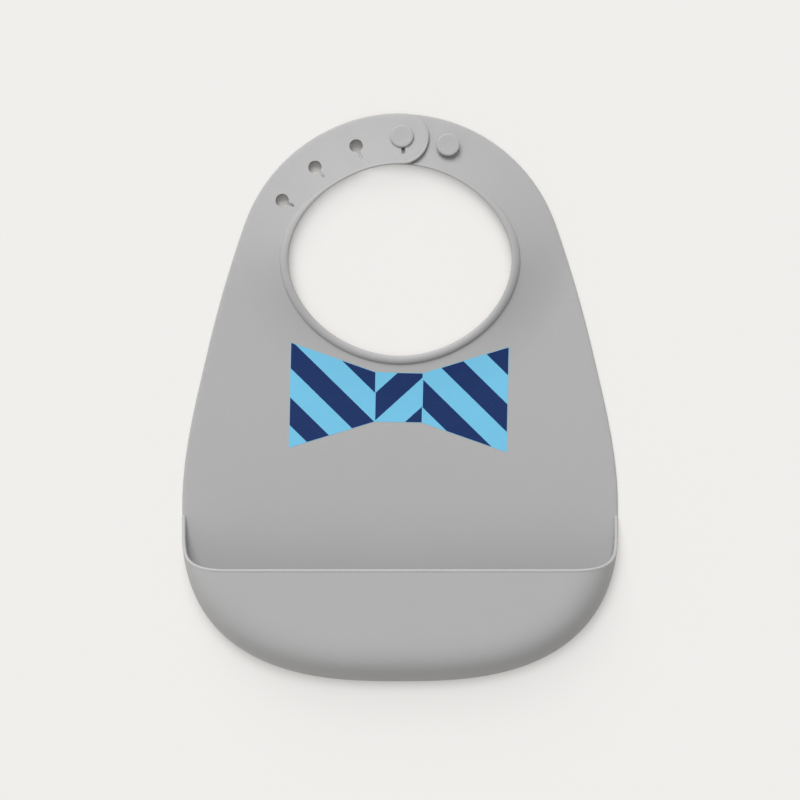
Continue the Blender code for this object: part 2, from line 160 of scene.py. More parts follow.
class Graph:
    """A node tree that is written as a list of calls."""

    def __init__(self, tree):
        self.tree = tree

    def feed(self, socket, value):
        if isinstance(value, Signal):
            self.tree.links.new(value.socket, socket)
        else:
            socket.default_value = value

    def node(self, kind, settings=None, values=None, output=0):
        made = self.tree.nodes.new(kind)
        for key, value in (settings or {}).items():
            setattr(made, key, value)
        for key, value in (values or {}).items():
            self.feed(made.inputs[key], value)
        return Signal(self, made.outputs[output])


class Finish(Graph):
    """A material built on one Principled shader."""

    def __init__(self, name, **constants):
        self.material = bpy.data.materials.new(name)
        self.material.use_nodes = True
        super().__init__(self.material.node_tree)
        self.shader = self.tree.nodes["Principled BSDF"]
        for socket, value in constants.items():
            self.shader.inputs[socket.replace("_", " ")].default_value = value
        self.place = self.node("ShaderNodeTexCoord", output="Object")

    def noise(self, size, detail=2.0, roughness=0.5, shift=0.0):
        """Cloudy noise whose blotches are about as wide as the given size in metres."""
        values = {0: self.place, 1: (shift, shift, shift)}
        at = self.node("ShaderNodeVectorMath", {"operation": "ADD"}, values)
        values = {"Vector": at, "Scale": 1 / size, "Detail": detail, "Roughness": roughness}
        return self.node("ShaderNodeTexNoise", None, values, "Fac")

    def tint(self, share, first, second):
        """Colour that goes from the first to the second as the share goes from 0 to 1."""
        values = {0: share, 6: first, 7: second}
        return self.node("ShaderNodeMix", {"data_type": "RGBA"}, values, 2)

    def bump(self, height, depth, strength):
        """Small relief of the given depth in metres."""
        values = {"Height": height, "Distance": depth, "Strength": strength}
        return self.node("ShaderNodeBump", None, values)

    def wear(self, **sockets):
        """Give the shader's sockets a number, a colour or a worked-out signal."""
        for socket, value in sockets.items():
            self.feed(self.shader.inputs[socket.replace("_", " ")], value)


def shade(colour, gain):
    """The colour made lighter or darker, as a socket wants it."""
    return (colour[0] * gain, colour[1] * gain, colour[2] * gain, 1.0)


room = bpy.data.worlds.new("room")
room.use_nodes = True
bpy.context.scene.world = room
sky = room.node_tree.nodes["Background"]
sky.inputs["Color"].default_value = shade(SKY_COLOUR, 1.0)
sky.inputs["Strength"].default_value = SKY_STRENGTH
air = Graph(room.node_tree)
wall = air.node(
    "ShaderNodeBackground", None, {"Color": shade(TABLE_COLOUR, 1.0), "Strength": 1.0}
)
looked_at = air.node("ShaderNodeLightPath", output="Is Camera Ray")
air.feed(
    room.node_tree.nodes["World Output"].inputs["Surface"],
    air.node("ShaderNodeMixShader", None, {
        0: looked_at, 1: Signal(air, sky.outputs["Background"]), 2: wall,
    }),
)

table_finish = Finish("pale_table", Roughness=0.75)
table_cloud = table_finish.noise(0.35, 1.0)
table_finish.wear(Base_Color=table_finish.tint(
    table_cloud, shade(TABLE_DARK, 1.0), shade(TABLE_LIGHT, 1.0)
))
# The table's glow is painted light for the camera: it fills in the bib's cast shadow, and fades
# out within CONTACT_REACH of the bib, where the real shadow shows.
seen = table_finish.node("ShaderNodeLightPath", output="Is Camera Ray")
openness = table_finish.node(
    "ShaderNodeAmbientOcclusion", {"samples": 8}, {"Distance": CONTACT_REACH}, "AO"
)
painted_glow = table_finish.node("ShaderNodeEmission", None, {"Color": shade(TABLE_COLOUR, 1.0)})
table_finish.feed(
    table_finish.tree.nodes["Material Output"].inputs["Surface"],
    table_finish.node(
        "ShaderNodeMixShader", None,
        {
            0: seen * PAINTED_GLOW_SHARE * openness.above(SHADOW_FULL, SHADOW_NONE),
            1: Signal(table_finish, table_finish.shader.outputs["BSDF"]),
            2: painted_glow,
        },
    ),
)
table_mesh = bpy.data.meshes.new("table")
table_corners = [
    (x * TABLE_HALF, y * TABLE_HALF, 0) for x, y in ((-1, -1), (1, -1), (1, 1), (-1, 1))
]
table_mesh.from_pydata(table_corners, [], [(0, 1, 2, 3)])
table_mesh.materials.append(table_finish.material)
table = bpy.data.objects.new("table", table_mesh)
table.location.z = cad_low.z - TABLE_DROP
bpy.context.scene.collection.objects.link(table)


# ---------------------------------------------------------------- panel
# The bib's body is one soft sheet of grey silicone, moulded with rounded edges and a fine
# matt grain. It folds across its middle, above the pocket, where it has no fixed hinge, and
# it curls up a little round the neck opening, where the buttoned collar pulls it into a cone.

SILICONE = (0.423, 0.423, 0.425)
CORNER_POWER = 2.68
WIDEST_UP = 0.0922
CHEST_DOWN = 0.1251
CHEST_HALF = 0.1018
CHEST_TAPER = 0.235
COLLAR_RADIUS = 0.0871
SHOULDER_RISE = 0.0295
STRAP_WIDTH = 0.0276
NECK_HALF_WIDTH = 0.0588
NECK_HALF_HEIGHT = 0.0503
NECK_POWER = 1.9
POCKET_TOP = 0.086
LIFT_REACH = 0.0295         # the sheet curls up this far round the neck
LIFT_FRONT = 0.0018
LIFT_BACK = 0.0074
FRONT_CURL = 2.0            # curved below the neck
BACK_CURL = 1.15            # and nearly straight across the straps
FOLD_HALF = 0.012           # half of the stretch that bends at the panel's fold
STRAP_FOLD_HALF = 0.009
SEAM_MARGIN = 0.004         # from a bending stretch to the line where two meshes meet
CELL = 0.0034               # mesh size across the sheet
MERGE = 1e-6                # points nearer to each other than this are one point
EDGE_STEPS = 6
RIM_SIDES = 16
EDGE_ROUND = 0.49           # rounding of the sheet's edges, as a share of its thickness
HOLE_ROUND = 0.14           # rounding of the keyholes' edges, in the same way
NECK_EDGE_SHARE = 0.3       # the neck's edge has only this share of the outer edge's rounding
NECK_EDGE_NEAR = 0.0003     # what is nearer to the neck than this belongs to its edge
BACK_START = -0.95          # height round the neck, from -1 to 1, where the curl starts to grow
BACK_SPAN = 1.15
STUB = 0.012                # the panel's outline goes on this far up the straps, to be cut off
POCKET_TUCK = 0.00035       # the panel's edge stands back this far where the pocket's foot is
TUCK_RUN = 0.004            # over which it gets to that
SIDE_STEPS = 70
NECK_STEPS = 120
BOTTOM_STEPS = 140
GRAIN = 0.00042             # size of the mould's fine grain

joints = {joint["name"]: joint for joint in frame["joints"]}
fold_y = joints["panel_fold"]["pos_m"][1]
collar_y = joints["right_strap_bend"]["pos_m"][1]
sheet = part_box("lower_panel")[1].z
half_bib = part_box("lower_panel")[1].x
bottom_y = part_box("lower_panel")[0].y
top_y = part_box("stud_strap")[1].y
widest_y = bottom_y + WIDEST_UP
neck_y = top_y - STRAP_WIDTH - NECK_HALF_HEIGHT
mouth_y = bottom_y + POCKET_TOP
chest_seam = fold_y + FOLD_HALF + SEAM_MARGIN
collar_seam = collar_y - STRAP_FOLD_HALF - SEAM_MARGIN


def silicone_finish(name):
    """Matt moulded silicone: fine grain from the mould, faint clouds and a little lint."""
    made = Finish(
        name, Metallic=0.0, IOR=1.41, Subsurface_Weight=0.08, Subsurface_Scale=0.0015,
        Subsurface_Radius=(1.0, 1.0, 1.0), Specular_IOR_Level=0.42,
    )
    grain = made.noise(GRAIN, 3.0, 0.6)
    skin = made.noise(0.0031, 2.0, 0.5, 0.7)
    cloud = made.noise(0.045, 2.0, 0.5, 1.9)
    lint = made.noise(0.0011, 1.0, 0.4, 3.3).above(0.735, 0.80)
    body = made.tint(cloud, shade(SILICONE, 0.975), shade(SILICONE, 1.02))
    speckled = made.tint(grain.above(0.35, 0.75) * 0.5, body, shade(SILICONE, 0.955))
    made.wear(
        Base_Color=made.tint(lint * 0.35, speckled, shade(SILICONE, 1.35)),
        Roughness=0.50 + 0.10 * cloud + 0.06 * grain,
        Normal=made.bump(grain + 0.6 * skin, 0.000055, 0.55),
    )
    return made.material


silicone = silicone_finish("grey_silicone")


def easing(start, end, start_slope, end_slope, span, share):
    """Smooth step between two widths, with a slope at each end."""
    near = 1 - 3 * share ** 2 + 2 * share ** 3
    leave = share * (1 - share) ** 2
    arrive = share ** 2 * (share - 1)
    return near * start + (1 - near) * end + span * (leave * start_slope + arrive * end_slope)


def half_width(y):
    """Half of the sheet's width at one height, from the pocket's bottom to the collar's top."""
    shoulder_y = collar_y + SHOULDER_RISE
    shoulder = math.sqrt(COLLAR_RADIUS ** 2 - SHOULDER_RISE ** 2)
    chest_y = top_y - CHEST_DOWN
    if y > shoulder_y:
        return math.sqrt(max(COLLAR_RADIUS ** 2 - (y - collar_y) ** 2, 0))
    if y > chest_y:
        span = shoulder_y - chest_y
        slope = SHOULDER_RISE / shoulder
        return easing(shoulder, CHEST_HALF, slope, CHEST_TAPER, span, (shoulder_y - y) / span)
    if y > widest_y:
        span = chest_y - widest_y
        return easing(CHEST_HALF, half_bib, CHEST_TAPER, 0, span, (chest_y - y) / span)
    drop = min((widest_y - y) / WIDEST_UP, 1)
    return half_bib * (1 - drop ** CORNER_POWER) ** (1 / CORNER_POWER)


def bottom_curve(angle):
    """Point of the bottom edge; the angle runs from 0 at the right to pi at the left."""
    across = abs(math.cos(angle)) ** (2 / CORNER_POWER)
    down = abs(math.sin(angle)) ** (2 / CORNER_POWER)
    side = 1 if math.cos(angle) >= 0 else -1
    return Vector((side * half_bib * across, widest_y - WIDEST_UP * down))


def inset_point(angle, inset):
    """Bottom edge moved in towards the middle of the pocket."""
    step = 1e-4
    ahead = bottom_curve(min(angle + step, math.pi))
    behind = bottom_curve(max(angle - step, 0))
    along = (ahead - behind).normalized()
    return bottom_curve(angle) + inset * Vector((along.y, -along.x))


def neck_point(angle, grow=0.0):
    """Point of the neck opening's edge, seen from its centre."""
    wide = NECK_HALF_WIDTH + grow
    tall = NECK_HALF_HEIGHT + grow
    reach = abs(math.cos(angle) / wide) ** NECK_POWER + abs(math.sin(angle) / tall) ** NECK_POWER
    radius = reach ** (-1 / NECK_POWER)
    return Vector((radius * math.cos(angle), neck_y + radius * math.sin(angle)))


def neck_angle(y):
    """Angle, on the right-hand side, at which the neck's edge passes one height."""
    share = min(abs((y - neck_y) / NECK_HALF_HEIGHT), 1)
    x = NECK_HALF_WIDTH * (1 - share ** NECK_POWER) ** (1 / NECK_POWER)
    return math.atan2(y - neck_y, x)


def neck_distance(x, y):
    """Distance from the neck opening's edge, measured away from its centre."""
    edge = neck_point(math.atan2(y - neck_y, x)) - Vector((0, neck_y))
    return math.hypot(x, y - neck_y) - edge.length


def lift(x, y):
    """How far the sheet curls up off the table, most of all beside the neck opening."""
    share = min(max(neck_distance(x, y) / LIFT_REACH, 0), 1)
    up = math.sin(math.atan2(y - neck_y, x))
    back = min(max((up - BACK_START) / BACK_SPAN, 0), 1)
    back = back * back * (3 - 2 * back)
    crown = LIFT_FRONT + (LIFT_BACK - LIFT_FRONT) * back
    return crown * (1 - share) ** (FRONT_CURL + (BACK_CURL - FRONT_CURL) * back)


def offset_loop(loop, insets):
    """The closed loop with each point moved to the left of the way round, by its own inset."""
    moved = []
    count = len(loop)
    for i in range(count):
        along = (loop[(i + 1) % count] - loop[i - 1]).normalized()
        moved.append(loop[i] + insets[i] * Vector((-along.y, along.x)))
    return moved


def slab(outer, holes=()):
    """A flat sheet with rounded edges: loops up each edge, filled below and above."""
    bm = bmesh.new()
    tops = []
    bottoms = []
    for loop in (outer, *holes):
        round_off = [
            sheet * EDGE_ROUND * (NECK_EDGE_SHARE if neck_distance(*point) < NECK_EDGE_NEAR else 1)
            for point in loop
        ]
        if loop is not outer:
            round_off = [sheet * HOLE_ROUND] * len(loop)
        rows = []
        for k in range(EDGE_STEPS + 1):
            turn = -math.pi / 2 + math.pi * k / EDGE_STEPS
            insets = [reach * (1 - math.cos(turn)) for reach in round_off]
            level = sheet / 2 * (1 + math.sin(turn))
            rows.append([bm.verts.new((*point, level)) for point in offset_loop(loop, insets)])
        for near, far in zip(rows, rows[1:]):
            for i in range(len(near)):
                j = (i + 1) % len(near)
                bm.faces.new((near[i], near[j], far[j], far[i]))
        for store, row in ((bottoms, rows[0]), (tops, rows[-1])):
            for i in range(len(row)):
                store.append(bm.edges.get((row[i], row[(i + 1) % len(row)])))
    bmesh.ops.triangle_fill(bm, use_beauty=True, edges=bottoms, normal=(0, 0, -1))
    bmesh.ops.triangle_fill(bm, use_beauty=True, edges=tops, normal=(0, 0, 1))
    return bm


def keep_side(bm, point, normal):
    """Cut along a plane, keep what the normal points to and close the cut."""
    everything = list(bm.verts) + list(bm.edges) + list(bm.faces)
    cut = bmesh.ops.bisect_plane(
        bm, geom=everything, dist=MERGE, plane_co=point, plane_no=normal, clear_inner=True
    )
    rim = [item for item in cut["geom_cut"] if isinstance(item, bmesh.types.BMEdge)]
    bmesh.ops.edgenet_fill(bm, edges=rim)


def cross_hatch(bm, cell):
    """Divide large faces into cells, so that the sheet can curl and bend."""
    for axis in (0, 1):
        low = min(vert.co[axis] for vert in bm.verts)
        high = max(vert.co[axis] for vert in bm.verts)
        steps = max(int((high - low) / cell), 1)
        for k in range(1, steps):
            point = [0.0, 0.0, 0.0]
            normal = [0.0, 0.0, 0.0]
            point[axis] = low + (high - low) * k / steps
            normal[axis] = 1.0
            everything = list(bm.verts) + list(bm.edges) + list(bm.faces)
            bmesh.ops.bisect_plane(
                bm, geom=everything, dist=MERGE, plane_co=point, plane_no=normal
            )


def no_climb(x, y):
    """For what lies on the table from end to end."""
    return 0.0


def curl(bm, climb=no_climb):
    """Raise every point by the sheet's curl, and by its climb on to the other strap."""
    for vert in bm.verts:
        vert.co.z += lift(vert.co.x, vert.co.y) + climb(vert.co.x, vert.co.y)


def add_piece(name, parts, material, crease=35):
    """One object from several meshes, with outward faces and smooth shading."""
    mesh = bpy.data.meshes.new(name)
    whole = bmesh.new()
    for part in parts:
        bmesh.ops.remove_doubles(part, verts=part.verts, dist=MERGE)
        bmesh.ops.recalc_face_normals(part, faces=part.faces)
        part.to_mesh(mesh)
        part.free()
        whole.from_mesh(mesh)
    whole.to_mesh(mesh)
    whole.free()
    mesh.materials.clear()
    mesh.materials.append(material)
    mesh.shade_smooth()
    mesh.set_sharp_from_angle(angle=math.radians(crease))
    made = bpy.data.objects.new(name, mesh)
    bpy.context.scene.collection.objects.link(made)
    return made


class Growth(Graph):
    """A Geometry Nodes tree with named inputs, run once on a mesh and kept as plain faces."""

    def __init__(self, name, **numbers):
        super().__init__(bpy.data.node_groups.new(name, "GeometryNodeTree"))
        self.numbers = numbers
        face = self.tree.interface
        face.new_socket("Geometry", in_out="INPUT", socket_type="NodeSocketGeometry")
        face.new_socket("Geometry", in_out="OUTPUT", socket_type="NodeSocketGeometry")
        for key, value in numbers.items():
            kind = "NodeSocketInt" if isinstance(value, int) else "NodeSocketFloat"
            face.new_socket(key, in_out="INPUT", socket_type=kind)
        self.entry = self.tree.nodes.new("NodeGroupInput")

    def given(self, name="Geometry"):
        return Signal(self, self.entry.outputs[name])

    def vector(self, x=0.0, y=0.0, z=0.0):
        return self.node("ShaderNodeCombineXYZ", None, {"X": x, "Y": y, "Z": z})

    def grown(self, source, result):
        """Run the tree on the source mesh; the result socket holds the wanted geometry."""
        whole = self.node("GeometryNodeRealizeInstances", None, {"Geometry": result})
        coated = self.node(
            "GeometryNodeSetMaterial", None, {"Geometry": whole, "Material": silicone}
        )
        end = self.tree.nodes.new("NodeGroupOutput")
        self.feed(end.inputs["Geometry"], coated)
        seed = bpy.data.objects.new(self.tree.name, source)
        bpy.context.scene.collection.objects.link(seed)
        growth = seed.modifiers.new(self.tree.name, "NODES")
        growth.node_group = self.tree
        for item in self.tree.interface.items_tree:
            if item.in_out == "INPUT" and item.name in self.numbers:
                growth[item.identifier] = self.numbers[item.name]
        seed.update_tag()
        mesh = bpy.data.meshes.new_from_object(
            seed.evaluated_get(bpy.context.evaluated_depsgraph_get())
        )
        seed.modifiers.remove(growth)
        bpy.data.objects.remove(seed, do_unlink=True)
        bm = bmesh.new()
        bm.from_mesh(mesh)
        return bm


def swept_rim(name, points, radii, flatness):
    """A rounded rim along a path; flatness is its height as a share of its width."""
    path = bpy.data.meshes.new(name)
    links = [(i, i + 1) for i in range(len(points) - 1)]
    path.from_pydata([tuple(point) for point in points], links, [])
    widths = path.attributes.new("half_width", "FLOAT", "POINT")
    widths.data.foreach_set("value", radii)
    rim = Growth(name, Sides=RIM_SIDES, Flatness=flatness)
    line = rim.node("GeometryNodeMeshToCurve", None, {"Mesh": rim.given()})
    level = rim.node("GeometryNodeSetCurveNormal", {"mode": "Z_UP"}, {"Curve": line})
    circle = rim.node(
        "GeometryNodeCurvePrimitiveCircle", {"mode": "RADIUS"},
        {"Resolution": rim.given("Sides"), "Radius": 1.0},
    )
    oval = rim.node(
        "GeometryNodeTransform", None,
        {"Geometry": circle, "Scale": rim.vector(1.0, rim.given("Flatness"), 1.0)},
    )
    width = rim.node(
        "GeometryNodeInputNamedAttribute", {"data_type": "FLOAT"}, {"Name": "half_width"}
    )
    body = rim.node(
        "GeometryNodeCurveToMesh", None,
        {"Curve": level, "Profile Curve": oval, "Scale": width, "Fill Caps": True},
    )
    return rim.grown(path, body)


BEAD_HALF_WIDTH = 0.0023    # of the raised bead round the lower half of the neck opening
RIM_HALF_WIDTH = 0.0009     # what is left of it over the top of the collar
BEAD_FLATNESS = 0.66
BEAD_FADE_LOW = math.radians(12)    # the bead narrows between these two angles
BEAD_FADE_HIGH = math.radians(52)
BEAD_STEP = math.radians(1.5)
BEAD_SINK = 0.00025         # the thin rim lies this much lower in the sheet than the bead
TIP_SINK = 0.0002           # and round a strap's end this much
TIP_DIP = 0.0005            # and where it fades out up to this much more
TIP_FADE_START = 7          # of the points round a strap's end
TIP_FADE_COUNT = 12
TIP_LEAST = 0.15            # share of the rim's width that is left where it has faded


def neck_bead(name, start, end, climb=no_climb, before=()):
    """The bead along the neck's edge between two angles, seen from the opening's centre.
    The points before it carry its thin rim on round a strap's end."""
    steps = max(int(abs(end - start) / BEAD_STEP), 2)
    points = []
    radii = []
    for i, at in enumerate(before):
        share = min(max((i - TIP_FADE_START) / TIP_FADE_COUNT, TIP_LEAST), 1)
        level = sheet + climb(at.x, at.y) - TIP_SINK - TIP_DIP * (1 - share)
        points.append((at.x, at.y, level))
        radii.append(RIM_HALF_WIDTH * share)
    for i in range(steps + 1):
        angle = start + (end - start) * i / steps
        height = math.asin(max(-1, min(1, math.sin(angle))))
        share = min(max((height - BEAD_FADE_LOW) / (BEAD_FADE_HIGH - BEAD_FADE_LOW), 0), 1)
        share = share * share * (3 - 2 * share)
        radius = BEAD_HALF_WIDTH + (RIM_HALF_WIDTH - BEAD_HALF_WIDTH) * share
        at = neck_point(angle, radius)
        points.append((at.x, at.y, sheet - BEAD_SINK * share + climb(at.x, at.y)))
        radii.append(radius)
    return swept_rim(name, points, radii, BEAD_FLATNESS)


def panel_outline():
    """Anticlockwise outline of the panel with two stubs of strap, round the neck's lower half."""
    stub = collar_y + STUB
    levels = [widest_y + (stub - widest_y) * i / SIDE_STEPS for i in range(1, SIDE_STEPS + 1)]
    right = [Vector((half_width(y), y)) for y in levels]
    start = neck_angle(stub)
    sweep = math.pi + 2 * start
    neck = [neck_point(start - sweep * i / NECK_STEPS) for i in range(NECK_STEPS + 1)]
    left = [Vector((-point.x, point.y)) for point in reversed(right)]
    bottom = []
    for i in range(BOTTOM_STEPS + 1):
        angle = math.pi - math.pi * i / BOTTOM_STEPS
        below = min(max((mouth_y + TUCK_RUN / 4 - bottom_curve(angle).y) / TUCK_RUN, 0), 1)
        bottom.append(inset_point(angle, POCKET_TUCK * below))
    return right + neck + left + bottom


def panel_part(low, high):
    """The panel's sheet between two heights."""
    bm = slab(panel_outline())
    keep_side(bm, (0, high, 0), (0, -1, 0))
    if low is not None:
        keep_side(bm, (0, low, 0), (0, 1, 0))
    cross_hatch(bm, CELL)
    curl(bm)
    return bm


lower_sheet = add_piece("lower_sheet", [panel_part(None, chest_seam)], silicone)
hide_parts("lower_panel")
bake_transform(lower_sheet)

bead_start = neck_angle(collar_seam + SEAM_MARGIN)
chest_bead = neck_bead("chest_bead", bead_start, -math.pi - bead_start)
keep_side(chest_bead, (0, collar_seam, 0), (0, -1, 0))
curl(chest_bead)
chest_sheet = add_piece(
    "chest_sheet", [panel_part(chest_seam, collar_seam), chest_bead], silicone
)
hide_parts("chest_panel", "neck_bead")
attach(chest_sheet, "chest")


# ---------------------------------------------------------------- collar straps
# Two straps grow out of the chest, in the same moulding. The right one carries two studs. The
# left one ends in a tab with four keyholes, which climbs on to the right one and is buttoned
# there by the keyhole nearest to its tip.

TAB_OVERHANG = 0.0015
RAMP_LENGTH = 0.020
TAB_FOLD_HALF = 0.008
TAB_SEAM_MARGIN = 0.001
ROOT_OVERLAP = 0.006        # the straps' outlines start this far below the seam, to be cut off
BEAD_OVERLAP = 0.05         # radians round the neck by which the beads pass the same seam
TAB_BEAD_START = math.radians(89)
EDGE_POINTS = 20
ARC_STEPS = 48
INNER_STEPS = 80
END_STEPS = 32
HOLE_STEPS = 32
SLOT_SIDE_STEPS = 4
SLOT_END_STEPS = 6
HOLE_RADIUS = 0.0034
KEYHOLES = 4                                # counted from the tab's tip
HOLE_OUTS = (0.0007, 0.0, 0.0003, 0.0011)   # of each keyhole, outside the strap's middle line
BUTTON_TURN = math.radians(-0.75)           # slack in the buttoned collar
SLOT_REACHES = (0.0091, 0.0074, 0.0074, 0.0070)
SLOT_HALF_WIDTHS = (0.0009, 0.00040, 0.00048, 0.00062)
SLOT_SWINGS = (math.radians(7), math.radians(5), math.radians(5), math.radians(6))

mid_radius = COLLAR_RADIUS - STRAP_WIDTH / 2
stud_places = [(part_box(name)[0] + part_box(name)[1]) / 2 for name in ("stud_1", "stud_2")]
stud_angles = [math.atan2(at.y - collar_y, at.x) for at in stud_places]
pitch_angle = stud_angles[0] - stud_angles[1]
tab_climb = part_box("keyhole_tab")[1].z - sheet
gap = tab_climb - sheet
tab_hinge = Vector(joints["tab_lift"]["pos_m"])
tab_onward = Vector((0, 0, 1)).cross(Vector(joints["tab_lift"]["axis"]))
if tab_onward.y < 0:
    tab_onward = -tab_onward
tab_seam = tab_hinge - (TAB_FOLD_HALF + TAB_SEAM_MARGIN) * tab_onward


def collar_point(angle, radius):
    """Point at an angle from +X round the collar's centre."""
    return Vector((radius * math.cos(angle), collar_y + radius * math.sin(angle)))


def strap_outline(past_top):
    """Anticlockwise outline of the right-hand strap, whose round end passes the top."""
    low = collar_seam - ROOT_OVERLAP
    shoulder_angle = math.asin(SHOULDER_RISE / COLLAR_RADIUS)
    last = math.pi / 2 + past_top
    rise = collar_y + SHOULDER_RISE - low
    edge = [low + rise * i / EDGE_POINTS for i in range(EDGE_POINTS)]
    outer = [Vector((half_width(y), y)) for y in edge]
    for i in range(ARC_STEPS + 1):
        angle = shoulder_angle + (last - shoulder_angle) * i / ARC_STEPS
        outer.append(collar_point(angle, COLLAR_RADIUS))
    start = neck_angle(low)
    inside = collar_point(last, COLLAR_RADIUS - STRAP_WIDTH)
    stop = math.atan2(inside.y - neck_y, inside.x)
    sweep = start - stop
    inner = [neck_point(stop + sweep * i / INNER_STEPS) for i in range(INNER_STEPS + 1)]
    return outer + strap_end(past_top, 0.0) + inner


def strap_end(past_top, inset):
    """Points round a strap's end, from its outer edge to its inner edge."""
    last = math.pi / 2 + past_top
    half = STRAP_WIDTH / 2 - inset
    points = []
    for i in range(1, END_STEPS):
        bend = math.pi / 2 - math.pi * i / END_STEPS
        turn = half / mid_radius * math.cos(bend)
        points.append(collar_point(last + turn, mid_radius + half * math.sin(bend)))
    return points


def mirror_loop(loop):
    """The same outline on the bib's other side, still anticlockwise."""
    return [Vector((-point.x, point.y)) for point in reversed(loop)]


def tab_ramp(x, y):
    """The tab's climb: none at its root, a sheet and a gap on top of the other strap."""
    angle = math.atan2(y - collar_y, x) % (2 * math.pi)
    if angle > 1.5 * math.pi:
        angle = 0.0
    head = math.pi / 2 + (STRAP_WIDTH / 2 + gap) / mid_radius
    foot = head + RAMP_LENGTH / mid_radius
    share = min(max((foot - angle) / (foot - head), 0), 1)
    return tab_climb * share * share * (3 - 2 * share)


def keyhole(index):
    """Clockwise outline of one keyhole: a round hole with a slot towards the neck."""
    angle = math.pi / 2 + index * pitch_angle + BUTTON_TURN
    centre = collar_point(angle, mid_radius + HOLE_OUTS[index])
    lean = angle + SLOT_SWINGS[index]
    outward = Vector((math.cos(lean), math.sin(lean)))
    side = Vector((-outward.y, outward.x))
    half = SLOT_HALF_WIDTHS[index]
    reach = SLOT_REACHES[index]
    open_angle = math.asin(half / HOLE_RADIUS)
    points = []
    for i in range(HOLE_STEPS + 1):
        turn = math.pi + open_angle + (2 * math.pi - 2 * open_angle) * i / HOLE_STEPS
        points.append(centre + HOLE_RADIUS * (math.cos(turn) * outward + math.sin(turn) * side))
    neck_of_slot = -HOLE_RADIUS * math.cos(open_angle)
    for i in range(1, SLOT_SIDE_STEPS + 1):
        along = neck_of_slot + (half - reach - neck_of_slot) * i / SLOT_SIDE_STEPS
        points.append(centre + along * outward + half * side)
    for i in range(1, SLOT_END_STEPS):
        turn = math.pi / 2 + math.pi * i / SLOT_END_STEPS
        along = half - reach + half * math.cos(turn)
        points.append(centre + along * outward + half * math.sin(turn) * side)
    for i in range(SLOT_SIDE_STEPS):
        along = half - reach + (neck_of_slot - half + reach) * i / SLOT_SIDE_STEPS
        points.append(centre + along * outward - half * side)
    return list(reversed(points))


right_bead = neck_bead("right_bead", neck_angle(collar_seam) - BEAD_OVERLAP, math.pi / 2)
right_slab = slab(strap_outline(0.0))
for part in (right_slab, right_bead):
    keep_side(part, (0, collar_seam, 0), (0, 1, 0))
cross_hatch(right_slab, CELL)
for part in (right_slab, right_bead):
    curl(part)
right_strap = add_piece("right_strap_sheet", [right_slab, right_bead], silicone)
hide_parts("stud_strap", "strap_bead_right")
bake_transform(right_strap)


def left_part(name, planes, holes):
    """Part of the left-hand strap that lies on the far side of every given plane."""
    bead_end = math.pi - neck_angle(collar_seam) + BEAD_OVERLAP
    tip = strap_end(TAB_OVERHANG / mid_radius, RIM_HALF_WIDTH)
    tip = [Vector((-at.x, at.y)) for at in tip]
    bead = neck_bead(name + "_bead", TAB_BEAD_START, bead_end, tab_ramp, tip)
    whole = slab(mirror_loop(strap_outline(TAB_OVERHANG / mid_radius)), holes)
    for point, normal in planes:
        keep_side(whole, point, normal)
        keep_side(bead, point, normal)
    cross_hatch(whole, CELL)
    curl(whole, tab_ramp)
    curl(bead)
    return add_piece(name, [whole, bead], silicone)


left_root = left_part(
    "left_strap_sheet", [((0, collar_seam, 0), (0, 1, 0)), (tab_seam, -tab_onward)], []
)
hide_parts("keyhole_strap", "strap_bead_left")
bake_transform(left_root)

tab_sheet = left_part(
    "keyhole_tab_sheet", [(tab_seam, tab_onward)], [keyhole(index) for index in range(KEYHOLES)]
)
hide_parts("keyhole_tab")
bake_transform(tab_sheet)


# ---------------------------------------------------------------- studs
# Two mushroom studs, moulded with the right-hand strap. Each has a short stem and a wide flat
# head with a rounded edge, and pushes through a keyhole.

HEAD_DISH = 0.00012         # the head is this much lower in its middle than at its rim
HEAD_EDGE = 0.0008
HEAD_HEIGHT = 0.0018
HEAD_LEAN = 0.5             # share of the strap's slope that the head takes
HEAD_EDGE_STEPS = 8
STEM_CLEARANCE = 0.0006     # all round the stem in its keyhole
STEM_FLARE = 0.0005         # the stem widens by this much where it grows out of the strap
STUD_SIDES = 64
SLOPE_STEP = 0.003          # reach over which the strap's slope is taken


